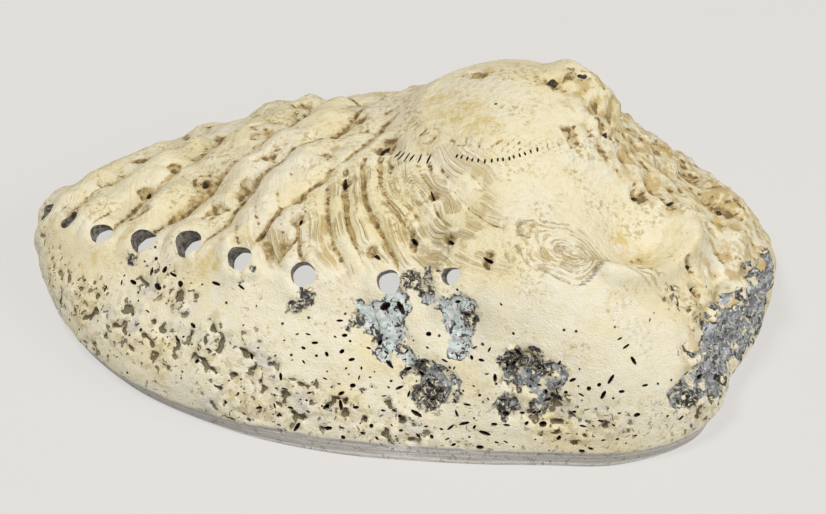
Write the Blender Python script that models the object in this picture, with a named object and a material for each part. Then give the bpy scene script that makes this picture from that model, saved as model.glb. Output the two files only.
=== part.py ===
"""Worn abalone shell, one solid, resting on its rim with the mouth down.

The frame has +Z up. The long axis runs along X, with the growing end at -X and the
spire at +X. The row of breathing holes faces -Y. Lengths in the formulas are
millimetres; the mesh is scaled to metres as it is made.
"""
import math

import bmesh
import bpy
import numpy as np
from mathutils import Matrix, Vector, noise

MM = 0.001

# Driving dimensions, millimetres
CENTRE = (8.0, -2.0)
# Move that brings the middle of the finished shell over the origin
TO_ORIGIN = (2.8, -5.9, 0.0)
# Distance from the centre to the rim, every 15 degrees from +X towards the back
RIM_RADII = (
    69.3, 74, 75, 72.5, 70, 68, 67, 67.5,
    69, 73, 78.8, 86, 91.2, 85.2, 76, 66,
    58, 53, 50.5, 51, 54.5, 62.2, 68, 66,
)
# Height of the back along X, at stations one step apart
FIRST_STATION = -84.0
STATION_STEP = 26.0
STATION_HEIGHTS = (33, 29, 37, 40.5, 45.5, 40, 28.5, 25.5)
SIDE_FALL = 17.5
SIDE_FALL_AT = 60.0
RIDGE_Y = -6.0
# Mean, cosine, sine and double-angle terms around the shell
FULLNESS = (5.2, 2.0, 1.3, 1.5)
SIDE_BULGE = (1.2, -0.9, 0.8, 3.5)
WALL_AT_RIM = 2.8
WALL_AT_TOP = 5.2
SHELF_WIDTH = 6.0
RIM_LIP_HEIGHT = 3.4
RIM_LIP_STEP = 0.5

# Breathing holes: plan position and radius, from the growing end
HOLES = (
    (-83.2, -3.0, 2.2),
    (-76.5, -9.5, 2.2),
    (-68.0, -14.8, 2.5),
    (-57.0, -18.8, 2.9),
    (-46.0, -23.0, 2.9),
    (-34.0, -28.3, 2.5),
    (-20.0, -31.6, 2.6),
    (-1.8, -31.2, 2.35),
    (11.8, -31.5, 1.9),
)
# The row's keel goes on past the last hole, round the worn spire
KEEL_AFTER_HOLES = ((24, -34), (35, -34), (45, -28.5), (53, -22), (58, -13), (60, -4))
KEEL_HEIGHT = 1.0
KEEL_HALF_WIDTH = 4.5
COLLAR_HEIGHT = 0.8

# Broad parallel ridges cross the left half; their direction is in degrees
RIDGE_DIRECTION = 57.0
RIDGE_SPACING = 11.8
RIDGE_START = -48.8
RIDGE_HEIGHT = 2.4
KNOB_LENGTH = 16.0
# Lower growth folds fan out from one pole in the middle; angles in degrees
FOLD_POLE = (12.0, 20.0)
FOLD_SPACING = 11.0
FOLD_SWIRL = 2.0
FOLD_HEIGHT = 0.6

# Broad mounds on the smooth form: plan centre, half sizes, height
SUMMIT = ((22, 17), (21, 20), 6.5)
BACK_HOLLOW = ((58, 24), (20, 16), -4.0)

# Barnacle scar on the summit: plan centre, half sizes, turn in radians
SCAR_CENTRE = (18, 13)
SCAR_SIZES = (23, 19)
SCAR_TURN = 0.15
SCAR_HEIGHT = 4.0
SCAR_DISH = ((17, 10), (13, 9), -1.1)
SCAR_SHOULDERS = (((-3, 27), (12, 9), 2.2), ((18, 29), (11, 6), 1.0))
SCAR_LUMP_CENTRE = (33, 24)
SCAR_LUMP_SIZES = (7.8, 8)
SCAR_LUMP_HEIGHT = 3.4

# Worn spire: a spoon-shaped basin with a raised right-hand lip
BASIN_CENTRE = (41, -12)
BASIN_SIZES = (19, 11.5)
BASIN_TURN = -0.2
BASIN_START = (24, -8)
BASIN_DEPTH_NEAR = 0.6
BASIN_DEPTH_FAR = 4.0
BASIN_LIP = ((46, -28), (53, -23), (59, -13), (60, -4))
BASIN_LIP_HEIGHT = 1.5
BASIN_LIP_HALF_WIDTH = 3.0

# Encrusted lumps and dents: centre in space, radius, height
LUMPS = (
    ((69.5, 22, 22.5), 6.0, 3.0),
    ((60, 22, 29), 6.0, -1.6),
    ((-84, 4, 14), 5.0, 2.0),
    ((52, 43, 25), 6.0, -1.6),
    ((42, 26, 45), 4.5, -1.6),
    ((78, 5, 18), 5.0, 1.6),
    ((73, -9, 22), 5.0, 1.2),
    ((69, -29, 9), 5.0, 1.0),
    ((41, 46, 25), 6.0, 1.3),
    ((-66, 10, 26), 7.0, 1.0),
)
# Places where the outer layer has broken away: centre in space, radius, depth
PATCHES = (
    ((-4, -36, 24), 6.0, 1.1),
    ((4, -39, 19), 3.6, 1.0),
    ((7, -32, 29), 3.6, 0.9),
    ((15, -38, 26), 5.0, 1.1),
    ((9, -44, 15), 5.0, 1.2),
    ((29, -43, 21), 5.0, 1.2),
    ((28, -47, 14), 3.2, 0.9),
    ((37, -46, 13), 3.2, 0.9),
    ((77, -5, 13), 7.0, 1.2),
    ((73, -17, 16), 6.5, 1.2),
    ((68, -27, 16), 5.0, 1.1),
    ((63, -35, 15), 3.6, 0.9),
    ((69, -31, 9), 4.0, 0.8),
    ((-32, -45, 15), 6.0, 0.5),
)
# The inside: a fuller wall under the spire
SPIRE_WALL = ((50, -10), (13, 10), 2.4)
# Middles and half widths, in degrees, of the rim's three raised stretches between its flats
RIM_ARCHES = ((215, 18), (335, 16), (85, 22))
RIM_ARCH_RISE = 0.7

# Mesh fineness before and after thinning
COLUMNS = 232
OUTER_ROWS = 92
INNER_ROWS = 30
KEPT_SHARE = 0.158


def cyclic_curve(values, angle):
    """Smooth closed curve through values spaced evenly around the circle."""
    values = np.asarray(values, float)
    count = len(values)
    place = angle / (2 * np.pi) * count
    first = np.floor(place).astype(int)
    t = place - first
    before, start, end, after = (values[(first + k) % count] for k in (-1, 0, 1, 2))
    return blend(before, start, end, after, t)


def open_curve(values, place):
    """Smooth curve through values at whole-number places, held level past its ends."""
    values = np.asarray(values, float)
    last = len(values) - 1
    place = np.clip(place, 0, last - 1e-6)
    first = np.floor(place).astype(int)
    t = place - first
    padded = np.concatenate([[2 * values[0] - values[1]], values, [2 * values[-1] - values[-2]]])
    before, start, end, after = (padded[first + k] for k in (0, 1, 2, 3))
    return blend(before, start, end, after, t)


def blend(before, start, end, after, t):
    """Catmull-Rom step between start and end."""
    bend = 2 * before - 5 * start + 4 * end - after + t * (3 * (start - end) + after - before)
    return start + 0.5 * t * (end - before + t * bend)


def around(terms, angle):
    mean, cosine, sine, double = terms
    return mean + cosine * np.cos(angle) + sine * np.sin(angle) + double * np.cos(2 * angle)


def smooth_step(low, high, value):
    t = np.clip((value - low) / (high - low), 0, 1)
    return t * t * (3 - 2 * t)


def ellipse_distance(x, y, centre, half_sizes, turn=0.0):
    """1 on the ellipse's outline, 0 at its centre."""
    dx = x - centre[0]
    dy = y - centre[1]
    along = dx * math.cos(turn) + dy * math.sin(turn)
    across = dy * math.cos(turn) - dx * math.sin(turn)
    return np.hypot(along / half_sizes[0], across / half_sizes[1])


def mound(x, y, centre, half_sizes, turn=0.0):
    return np.exp(-ellipse_distance(x, y, centre, half_sizes, turn) ** 2)


def raised_mound(x, y, settings):
    centre, half_sizes, height = settings
    return height * mound(x, y, centre, half_sizes)


def table(x, y, centre, half_sizes, turn=0.0, edge=9.0):
    """Flat-topped bump with a soft edge."""
    return 1 / (1 + np.exp((ellipse_distance(x, y, centre, half_sizes, turn) - 1) * edge))


def base_surface(angle, reach):
    """Smooth outer surface. reach runs from 0 at the top to 1 at the rim."""
    out = np.sin(reach * np.pi / 2)
    edge = np.sqrt(np.clip(1 - out ** around(FULLNESS, angle), 0, 1))
    radius = cyclic_curve(RIM_RADII, angle) * out
    x = CENTRE[0] + radius * np.cos(angle)
    y = CENTRE[1] + radius * np.sin(angle)
    z = open_curve(STATION_HEIGHTS, (x - FIRST_STATION) / STATION_STEP)
    z = z - SIDE_FALL * ((y - RIDGE_Y) / SIDE_FALL_AT) ** 2
    z = (z + raised_mound(x, y, SUMMIT) + raised_mound(x, y, BACK_HOLLOW)) * edge
    bulge = around(SIDE_BULGE, angle) * np.sin(np.pi * edge)
    return np.stack([x + bulge * np.cos(angle), y + bulge * np.sin(angle), z], -1), edge


def base_normals(angle, reach):
    """Outward normals, upright at the top and level at the rim, so that both stay whole."""
    step = 0.004
    far = np.minimum(reach + step, 1.0)
    near = np.maximum(far - 2 * step, 0.002)
    down = base_surface(angle, far)[0] - base_surface(angle, near)[0]
    safe = np.maximum(reach, 0.01)
    side = base_surface(angle + 0.01, safe)[0] - base_surface(angle - 0.01, safe)[0]
    normals = np.cross(down, side)
    edge = base_surface(angle, reach)[1]
    normals /= np.linalg.norm(normals, axis=-1, keepdims=True) + 1e-12
    normals[..., 2] *= smooth_step(0.0, 0.12, edge)
    slant = smooth_step(0.02, 0.2, reach)
    normals[..., :2] *= slant[..., None]
    normals[..., 2] += 0.2 * (1 - slant)
    normals /= np.linalg.norm(normals, axis=-1, keepdims=True) + 1e-12
    return normals


def dense_line(points, per_span=24):
    """Plan points along a smooth curve through the given ones."""
    points = np.asarray(points, float)
    places = np.linspace(0, len(points) - 1, (len(points) - 1) * per_span + 1)
    return np.stack([open_curve(points[:, 0], places), open_curve(points[:, 1], places)], -1)


def line_distance(x, y, line):
    nearest = np.full(np.shape(x), 1e9)
    for px, py in line:
        nearest = np.minimum(nearest, (x - px) ** 2 + (y - py) ** 2)
    return np.sqrt(nearest)


def spot(point, centre, radius):
    """Soft round mark in space, 1 at its centre and 0.5 near its radius."""
    distance = np.linalg.norm(point - np.asarray(centre, float), axis=-1) / radius
    return 1 / (1 + np.exp((distance - 1) * 6))


def lumps_of_size(point, size, shift):
    """Natural unevenness between -1 and 1, with lumps of one size."""
    move = Vector((shift, 2.3 * shift, 0.7 * shift))
    flat = point.reshape(-1, 3) / size
    values = [noise.noise(Vector(place) + move) for place in flat.tolist()]
    return np.array(values).reshape(point.shape[:-1])


def fold_place(point):
    """Where a point lies in the fan of folds: fold count, distance and heading from the pole."""
    dx = point[..., 0] - FOLD_POLE[0]
    dy = point[..., 1] - FOLD_POLE[1]
    radius = np.hypot(dx, dy)
    heading = np.degrees(np.arctan2(dy, dx))
    heading = np.where(heading > 90, heading - 360, heading)
    phase = (heading - FOLD_SWIRL * (radius - 18)) / FOLD_SPACING
    phase = phase + 0.4 * lumps_of_size(point, 17.0, 3.0)
    return phase, radius, heading


def fold_relief(point):
    """Low growth folds that fan out from the pole and end at the row of holes."""
    phase, radius, heading = fold_place(point)
    share = phase - np.floor(phase)
    wave = np.sin(np.pi * share**0.75) - 0.4
    strength = smooth_step(-148, -136, heading) * smooth_step(-84, -100, heading)
    return FOLD_HEIGHT * strength * smooth_step(13, 30, radius) * wave


def ridge_place(point):
    """Where a point lies on the parallel ridges: ridge count, place along them and strength."""
    turn = math.radians(RIDGE_DIRECTION)
    across = point[..., 0] * math.sin(turn) - point[..., 1] * math.cos(turn)
    along = point[..., 0] * math.cos(turn) + point[..., 1] * math.sin(turn)
    count = (across - RIDGE_START) / RIDGE_SPACING + 0.28 * lumps_of_size(point, 19.0, 3.0)
    radius = np.hypot(point[..., 0] - FOLD_POLE[0], point[..., 1] - FOLD_POLE[1])
    strength = smooth_step(-9, -17, across) * smooth_step(-78, -63, across)
    strength = strength * smooth_step(13, 30, radius)
    return count, along, strength


def ridge_relief(point):
    """Broad knobby ridges with narrow valleys, which cross the left half."""
    count, along, strength = ridge_place(point)
    index = np.floor(count)
    wave = np.sin(np.pi * (count - index)) - 0.55
    knob_place = along / KNOB_LENGTH + 0.37 * index + 0.7 * lumps_of_size(point, 15.0, 8.0)
    knobs = 0.85 + 0.25 * np.cos(2 * np.pi * knob_place)
    return RIDGE_HEIGHT * strength * wave * knobs


def behind_row(x, y, line):
    """1 behind the row of holes, fading to 0 on the front wall."""
    order = np.argsort(line[:, 0])
    row_y = np.interp(x, line[order, 0], line[order, 1])
    return smooth_step(-3.0, 4.0, y - row_y)


def row_relief(x, y, line):
    keel = KEEL_HEIGHT * np.exp(-(line_distance(x, y, line) / KEEL_HALF_WIDTH) ** 2)
    keel = keel * smooth_step(-86, -66, x)
    collars = np.zeros_like(x)
    for hole_x, hole_y, radius in HOLES:
        ring = np.hypot(x - hole_x, y - hole_y) - radius - 1.0
        collars = np.maximum(collars, COLLAR_HEIGHT * np.exp(-(ring / 1.8) ** 2))
    return keel + collars


def top_scar_relief(x, y):
    """Raised, shallowly dished scar on the summit, with the lump at its far right."""
    raised = SCAR_HEIGHT * table(x, y, SCAR_CENTRE, SCAR_SIZES, SCAR_TURN)
    lump = SCAR_LUMP_HEIGHT * table(x, y, SCAR_LUMP_CENTRE, SCAR_LUMP_SIZES)
    relief = raised + lump + raised_mound(x, y, SCAR_DISH)
    for shoulder in SCAR_SHOULDERS:
        relief = relief + raised_mound(x, y, shoulder)
    return relief


def spire_basin_relief(x, y):
    """Worn spire: a smooth spoon that deepens towards its raised right-hand lip."""
    inside = table(x, y, BASIN_CENTRE, BASIN_SIZES, BASIN_TURN, 7.0)
    along = (x - BASIN_START[0]) * 0.97 - (y - BASIN_START[1]) * 0.25
    deepening = smooth_step(4, 30, along)
    depth = BASIN_DEPTH_NEAR + (BASIN_DEPTH_FAR - BASIN_DEPTH_NEAR) * deepening
    away = line_distance(x, y, dense_line(BASIN_LIP))
    lip = BASIN_LIP_HEIGHT * np.exp(-(away / BASIN_LIP_HALF_WIDTH) ** 2)
    return lip - depth * inside


def lump_relief(point):
    """Encrusted lumps at the spire end."""
    total = 0.0
    for centre, radius, height in LUMPS:
        total = total + height * spot(point, centre, radius)
    return total


def patch_relief(point):
    """Places where the outer layer has broken away."""
    total = 0.0
    for centre, radius, depth in PATCHES:
        total = np.maximum(total, depth * spot(point, centre, radius))
    return -total


def unevenness(point):
    """Slow lumpiness of the whole shell, rougher at the spire end."""
    slow = lumps_of_size(point, 19.0, 0.0)
    quick = lumps_of_size(point, 7.5, 5.0)
    rough = smooth_step(42, 66, point[..., 0] + 0.4 * point[..., 1])
    return 0.9 * slow + (0.35 + 0.9 * rough) * quick


def smooth_places(x, y):
    """1 on the summit's scar and in the spire's basin, which have no folds."""
    scar = table(x, y, SCAR_CENTRE, (SCAR_SIZES[0] + 1, SCAR_SIZES[1] + 1), SCAR_TURN, 12.0)
    basin = table(x, y, BASIN_CENTRE, BASIN_SIZES, BASIN_TURN, 10.0)
    return np.clip(scar + basin, 0, 1)


def outer_relief(point, edge, line):
    """Height of all the relief above the smooth outer surface."""
    x = point[..., 0]
    y = point[..., 1]
    above_row = behind_row(x, y, line)
    smooth = smooth_places(x, y)
    relief = (fold_relief(point) + ridge_relief(point)) * above_row * (1 - smooth)
    relief = relief + row_relief(x, y, line) * (1 - 0.5 * smooth)
    relief = relief + top_scar_relief(x, y) + spire_basin_relief(x, y)
    relief = relief + lump_relief(point) + patch_relief(point)
    relief = relief + unevenness(point) * (1 - 0.7 * smooth)
    lip = 1 - smooth_step(RIM_LIP_HEIGHT - 0.8, RIM_LIP_HEIGHT + 0.8, point[..., 2])
    return relief * smooth_step(0.0, 0.35, edge) - RIM_LIP_STEP * lip


def rim_lift(angle):
    """The rim rises a little between the three worn flats that it rests on."""
    turns = np.degrees(angle) % 360
    rise = 0.0
    for middle, half_width in RIM_ARCHES:
        rise = np.maximum(rise, np.exp(-((turns - middle) / half_width) ** 4))
    return RIM_ARCH_RISE * rise


def outer_surface(angle, reach, line):
    point, edge = base_surface(angle, reach)
    normals = base_normals(angle, reach)
    height = outer_relief(point, edge, line)
    result = point + normals * height[..., None]
    result[..., 2] = np.maximum(result[..., 2], 0) + rim_lift(angle) * (1 - edge) ** 6
    return result


def inner_surface(angle, reach):
    """Inner surface: the smooth shape set inwards by the wall's thickness."""
    point, edge = base_surface(angle, reach)
    normals = base_normals(angle, reach)
    wall = WALL_AT_RIM + (WALL_AT_TOP - WALL_AT_RIM) * smooth_step(0.05, 0.75, edge)
    back = smooth_step(-0.25, 0.75, np.cos(angle - math.radians(70)))
    spire = raised_mound(point[..., 0], point[..., 1], SPIRE_WALL)
    result = point - normals * (wall + spire)[..., None]
    shelf = SHELF_WIDTH * back * np.exp(-(edge / 0.16) ** 2)
    result[..., 0] -= shelf * np.cos(angle)
    result[..., 1] -= shelf * np.sin(angle)
    result[..., 2] = np.maximum(result[..., 2], 0) + rim_lift(angle) * (1 - edge) ** 6
    return result


def shell_mesh(line):
    """A sphere whose upper half becomes the outside and whose lower half the inside."""
    rows = OUTER_ROWS + INNER_ROWS + 1
    mesh_builder = bmesh.new()
    bmesh.ops.create_uvsphere(mesh_builder, u_segments=COLUMNS, v_segments=rows, radius=1.0)
    start = np.array([vertex.co[:] for vertex in mesh_builder.verts])
    angle = np.arctan2(start[:, 1], start[:, 0])
    row = np.round(np.arccos(np.clip(start[:, 2], -1, 1)) / np.pi * rows).astype(int)
    outside = row <= OUTER_ROWS
    outer_reach = np.clip(row / OUTER_ROWS, 0, 1)
    inner_reach = np.clip((rows - row) / INNER_ROWS, 0, 1)
    outer = outer_surface(angle, outer_reach, line)
    inner = inner_surface(angle, inner_reach)
    placed = np.where(outside[:, None], outer, inner)
    for vertex, position in zip(mesh_builder.verts, (placed + TO_ORIGIN) * MM):
        vertex.co = position
    mesh = bpy.data.meshes.new("shell")
    mesh_builder.to_mesh(mesh)
    mesh_builder.free()
    return mesh


def find_on_surface(x, y):
    """Angle and reach of the smooth surface above a plan position."""
    angle = math.atan2(y - CENTRE[1], x - CENTRE[0])
    reaches = np.linspace(0.02, 0.98, 400)
    points = base_surface(np.full_like(reaches, angle), reaches)[0]
    best = np.argmin(np.hypot(points[:, 0] - x, points[:, 1] - y))
    return np.array([angle]), reaches[best:best + 1]


def hole_cutter(index, hole, collection):
    """Slightly tapered round bar that stands square to the shell."""
    x, y, radius = hole
    angle, reach = find_on_surface(x, y)
    centre = base_surface(angle, reach)[0][0]
    normal = base_normals(angle, reach)[0]
    mesh_builder = bmesh.new()
    turn = Vector(normal.tolist()).to_track_quat("Z", "Y").to_matrix().to_4x4()
    middle = Vector((centre - normal * 1.5 + TO_ORIGIN).tolist()) * MM
    place = Matrix.Translation(middle) @ turn
    bmesh.ops.create_cone(
        mesh_builder,
        cap_ends=True,
        segments=18,
        radius1=radius * 0.95 * MM,
        radius2=radius * 1.12 * MM,
        depth=19 * MM,
        matrix=place,
    )
    mesh = bpy.data.meshes.new(f"hole_{index + 1}")
    mesh_builder.to_mesh(mesh)
    mesh_builder.free()
    cutter = bpy.data.objects.new(mesh.name, mesh)
    cutter.hide_render = True
    cutter.display_type = "WIRE"
    collection.objects.link(cutter)


def shell_material():
    material = bpy.data.materials.new("worn chalky shell")
    material.use_nodes = True
    surface = material.node_tree.nodes["Principled BSDF"]
    surface.inputs["Base Color"].default_value = (0.82, 0.76, 0.61, 1)
    surface.inputs["Roughness"].default_value = 0.7
    surface.inputs["Metallic"].default_value = 0.0
    return material


def settle_rim(mesh):
    """Put back in the resting plane the rim points that thinning moved off it."""
    for vertex in mesh.vertices:
        if vertex.co.z < 0.15 * MM:
            vertex.co.z = 0.0


def build():
    for old in list(bpy.data.objects):
        bpy.data.objects.remove(old)
    scene = bpy.context.scene
    parts = bpy.data.collections.new("abalone_shell")
    cutters = bpy.data.collections.new("cutters")
    scene.collection.children.link(parts)
    scene.collection.children.link(cutters)
    row = [hole[:2] for hole in HOLES]
    line = dense_line(row + list(KEEL_AFTER_HOLES))
    shell = bpy.data.objects.new("shell", shell_mesh(line))
    parts.objects.link(shell)
    for index, hole in enumerate(HOLES):
        hole_cutter(index, hole, cutters)
    holes = shell.modifiers.new("breathing holes", "BOOLEAN")
    holes.operation = "DIFFERENCE"
    holes.solver = "EXACT"
    holes.operand_type = "COLLECTION"
    holes.collection = cutters
    thinning = shell.modifiers.new("fewer faces", "DECIMATE")
    thinning.decimate_type = "COLLAPSE"
    thinning.ratio = KEPT_SHARE
    thinning.use_collapse_triangulate = True
    bpy.context.view_layer.update()
    graph = bpy.context.evaluated_depsgraph_get()
    final = bpy.data.meshes.new_from_object(shell.evaluated_get(graph))
    shell.modifiers.clear()
    shell.data = final
    settle_rim(final)
    final.shade_smooth()
    final.set_sharp_from_angle(angle=math.radians(40))
    final.materials.clear()
    final.materials.append(shell_material())


build()
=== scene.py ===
"""Worn abalone shell: the fine surface, its materials, a pale floor and soft light."""
import math

import bmesh
import bpy
import numpy as np
from mathutils import Matrix, Vector, noise


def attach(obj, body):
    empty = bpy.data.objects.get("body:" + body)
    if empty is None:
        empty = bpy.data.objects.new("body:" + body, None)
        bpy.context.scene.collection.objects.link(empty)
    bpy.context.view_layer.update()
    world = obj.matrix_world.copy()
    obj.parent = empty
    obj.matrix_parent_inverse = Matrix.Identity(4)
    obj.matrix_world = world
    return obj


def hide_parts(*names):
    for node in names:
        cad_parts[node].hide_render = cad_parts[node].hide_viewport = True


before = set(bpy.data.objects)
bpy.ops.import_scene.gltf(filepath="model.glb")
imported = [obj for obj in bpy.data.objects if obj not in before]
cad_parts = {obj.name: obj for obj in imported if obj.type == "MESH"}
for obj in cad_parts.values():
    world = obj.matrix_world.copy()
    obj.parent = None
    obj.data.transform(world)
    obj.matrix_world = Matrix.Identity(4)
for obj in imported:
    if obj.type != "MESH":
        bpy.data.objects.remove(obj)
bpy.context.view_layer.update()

MM = 0.001

# Driving dimensions, millimetres
CENTRE = (8.0, -2.0)
# Move that brings the middle of the finished shell over the origin
TO_ORIGIN = (2.8, -5.9, 0.0)
# Distance from the centre to the rim, every 15 degrees from +X towards the back
RIM_RADII = (
    69.3, 74, 75, 72.5, 70, 68, 67, 67.5,
    69, 73, 78.8, 86, 91.2, 85.2, 76, 66,
    58, 53, 50.5, 51, 54.5, 62.2, 68, 66,
)
# Height of the back along X, at stations one step apart
FIRST_STATION = -84.0
STATION_STEP = 26.0
STATION_HEIGHTS = (33, 29, 37, 40.5, 45.5, 40, 28.5, 25.5)
SIDE_FALL = 17.5
SIDE_FALL_AT = 60.0
RIDGE_Y = -6.0
# Mean, cosine, sine and double-angle terms around the shell
FULLNESS = (5.2, 2.0, 1.3, 1.5)
SIDE_BULGE = (1.2, -0.9, 0.8, 3.5)
WALL_AT_RIM = 2.8
WALL_AT_TOP = 5.2
SHELF_WIDTH = 6.0
RIM_LIP_HEIGHT = 3.4
RIM_LIP_STEP = 0.5

# Breathing holes: plan position and radius, from the growing end
HOLES = (
    (-83.2, -3.0, 2.2),
    (-76.5, -9.5, 2.2),
    (-68.0, -14.8, 2.5),
    (-57.0, -18.8, 2.9),
    (-46.0, -23.0, 2.9),
    (-34.0, -28.3, 2.5),
    (-20.0, -31.6, 2.6),
    (-1.8, -31.2, 2.35),
    (11.8, -31.5, 1.9),
)
# The row's keel goes on past the last hole, round the worn spire
KEEL_AFTER_HOLES = ((24, -34), (35, -34), (45, -28.5), (53, -22), (58, -13), (60, -4))
KEEL_HEIGHT = 1.0
KEEL_HALF_WIDTH = 4.5
COLLAR_HEIGHT = 0.8

# Broad parallel ridges cross the left half; their direction is in degrees
RIDGE_DIRECTION = 57.0
RIDGE_SPACING = 11.8
RIDGE_START = -48.8
RIDGE_HEIGHT = 2.4
KNOB_LENGTH = 16.0
# Lower growth folds fan out from one pole in the middle; angles in degrees
FOLD_POLE = (12.0, 20.0)
FOLD_SPACING = 11.0
FOLD_SWIRL = 2.0
FOLD_HEIGHT = 0.6

# Broad mounds on the smooth form: plan centre, half sizes, height
SUMMIT = ((22, 17), (21, 20), 6.5)
BACK_HOLLOW = ((58, 24), (20, 16), -4.0)

# Barnacle scar on the summit: plan centre, half sizes, turn in radians
SCAR_CENTRE = (18, 13)
SCAR_SIZES = (23, 19)
SCAR_TURN = 0.15
SCAR_HEIGHT = 4.0
SCAR_DISH = ((17, 10), (13, 9), -1.1)
SCAR_SHOULDERS = (((-3, 27), (12, 9), 2.2), ((18, 29), (11, 6), 1.0))
SCAR_LUMP_CENTRE = (33, 24)
SCAR_LUMP_SIZES = (7.8, 8)
SCAR_LUMP_HEIGHT = 3.4

# Worn spire: a spoon-shaped basin with a raised right-hand lip
BASIN_CENTRE = (41, -12)
BASIN_SIZES = (19, 11.5)
BASIN_TURN = -0.2
BASIN_START = (24, -8)
BASIN_DEPTH_NEAR = 0.6
BASIN_DEPTH_FAR = 4.0
BASIN_LIP = ((46, -28), (53, -23), (59, -13), (60, -4))
BASIN_LIP_HEIGHT = 1.5
BASIN_LIP_HALF_WIDTH = 3.0

# Encrusted lumps and dents: centre in space, radius, height
LUMPS = (
    ((69.5, 22, 22.5), 6.0, 3.0),
    ((60, 22, 29), 6.0, -1.6),
    ((-84, 4, 14), 5.0, 2.0),
    ((52, 43, 25), 6.0, -1.6),
    ((42, 26, 45), 4.5, -1.6),
    ((78, 5, 18), 5.0, 1.6),
    ((73, -9, 22), 5.0, 1.2),
    ((69, -29, 9), 5.0, 1.0),
    ((41, 46, 25), 6.0, 1.3),
    ((-66, 10, 26), 7.0, 1.0),
)
# Places where the outer layer has broken away: centre in space, radius, depth
PATCHES = (
    ((-4, -36, 24), 6.0, 1.1),
    ((4, -39, 19), 3.6, 1.0),
    ((7, -32, 29), 3.6, 0.9),
    ((15, -38, 26), 5.0, 1.1),
    ((9, -44, 15), 5.0, 1.2),
    ((29, -43, 21), 5.0, 1.2),
    ((28, -47, 14), 3.2, 0.9),
    ((37, -46, 13), 3.2, 0.9),
    ((77, -5, 13), 7.0, 1.2),
    ((73, -17, 16), 6.5, 1.2),
    ((68, -27, 16), 5.0, 1.1),
    ((63, -35, 15), 3.6, 0.9),
    ((69, -31, 9), 4.0, 0.8),
    ((-32, -45, 15), 6.0, 0.5),
)
# The inside: a fuller wall under the spire
SPIRE_WALL = ((50, -10), (13, 10), 2.4)
# Middles and half widths, in degrees, of the rim's three raised stretches between its flats
RIM_ARCHES = ((215, 18), (335, 16), (85, 22))
RIM_ARCH_RISE = 0.7


def plan(point):
    """The points' places along X and Y."""
    return point[..., 0], point[..., 1]


def cyclic_curve(values, angle):
    """Smooth closed curve through values spaced evenly around the circle."""
    values = np.asarray(values, float)
    count = len(values)
    place = angle / (2 * np.pi) * count
    first = np.floor(place).astype(int)
    t = place - first
    before, start, end, after = (values[(first + k) % count] for k in (-1, 0, 1, 2))
    return blend(before, start, end, after, t)


def open_curve(values, place):
    """Smooth curve through values at whole-number places, held level past its ends."""
    values = np.asarray(values, float)
    last = len(values) - 1
    place = np.clip(place, 0, last - 1e-6)
    first = np.floor(place).astype(int)
    t = place - first
    padded = np.concatenate([[2 * values[0] - values[1]], values, [2 * values[-1] - values[-2]]])
    before, start, end, after = (padded[first + k] for k in (0, 1, 2, 3))
    return blend(before, start, end, after, t)


def blend(before, start, end, after, t):
    """Catmull-Rom step between start and end."""
    bend = 2 * before - 5 * start + 4 * end - after + t * (3 * (start - end) + after - before)
    return start + 0.5 * t * (end - before + t * bend)


def around(terms, angle):
    mean, cosine, sine, double = terms
    return mean + cosine * np.cos(angle) + sine * np.sin(angle) + double * np.cos(2 * angle)


def bell(distance, width):
    """1 at no distance, falling away over the width."""
    return np.exp(-((distance / width) ** 2))


def smooth_step(low, high, value):
    t = np.clip((value - low) / (high - low), 0, 1)
    return t * t * (3 - 2 * t)


def ellipse_distance(x, y, centre, half_sizes, turn=0.0):
    """1 on the ellipse's outline, 0 at its centre."""
    dx = x - centre[0]
    dy = y - centre[1]
    along = dx * math.cos(turn) + dy * math.sin(turn)
    across = dy * math.cos(turn) - dx * math.sin(turn)
    return np.hypot(along / half_sizes[0], across / half_sizes[1])


def mound(x, y, centre, half_sizes, turn=0.0):
    return bell(ellipse_distance(x, y, centre, half_sizes, turn), 1)


def raised_mound(x, y, settings):
    centre, half_sizes, height = settings
    return height * mound(x, y, centre, half_sizes)


def table(x, y, centre, half_sizes, turn=0.0, edge=9.0):
    """Flat-topped bump with a soft edge."""
    return 1 / (1 + np.exp((ellipse_distance(x, y, centre, half_sizes, turn) - 1) * edge))


def base_surface(angle, reach):
    """Smooth outer surface. reach runs from 0 at the top to 1 at the rim."""
    out = np.sin(reach * np.pi / 2)
    edge = np.sqrt(np.clip(1 - out ** around(FULLNESS, angle), 0, 1))
    radius = cyclic_curve(RIM_RADII, angle) * out
    x = CENTRE[0] + radius * np.cos(angle)
    y = CENTRE[1] + radius * np.sin(angle)
    z = open_curve(STATION_HEIGHTS, (x - FIRST_STATION) / STATION_STEP)
    z = z - SIDE_FALL * ((y - RIDGE_Y) / SIDE_FALL_AT) ** 2
    z = (z + raised_mound(x, y, SUMMIT) + raised_mound(x, y, BACK_HOLLOW)) * edge
    bulge = around(SIDE_BULGE, angle) * np.sin(np.pi * edge)
    return np.stack([x + bulge * np.cos(angle), y + bulge * np.sin(angle), z], -1), edge


def base_normals(angle, reach):
    """Outward normals, upright at the top and level at the rim, so that both stay whole."""
    step = 0.004
    far = np.minimum(reach + step, 1.0)
    near = np.maximum(far - 2 * step, 0.002)
    down = base_surface(angle, far)[0] - base_surface(angle, near)[0]
    safe = np.maximum(reach, 0.01)
    side = base_surface(angle + 0.01, safe)[0] - base_surface(angle - 0.01, safe)[0]
    normals = np.cross(down, side)
    edge = base_surface(angle, reach)[1]
    normals /= np.linalg.norm(normals, axis=-1, keepdims=True) + 1e-12
    normals[..., 2] *= smooth_step(0.0, 0.12, edge)
    slant = smooth_step(0.02, 0.2, reach)
    normals[..., :2] *= slant[..., None]
    normals[..., 2] += 0.2 * (1 - slant)
    normals /= np.linalg.norm(normals, axis=-1, keepdims=True) + 1e-12
    return normals


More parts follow.
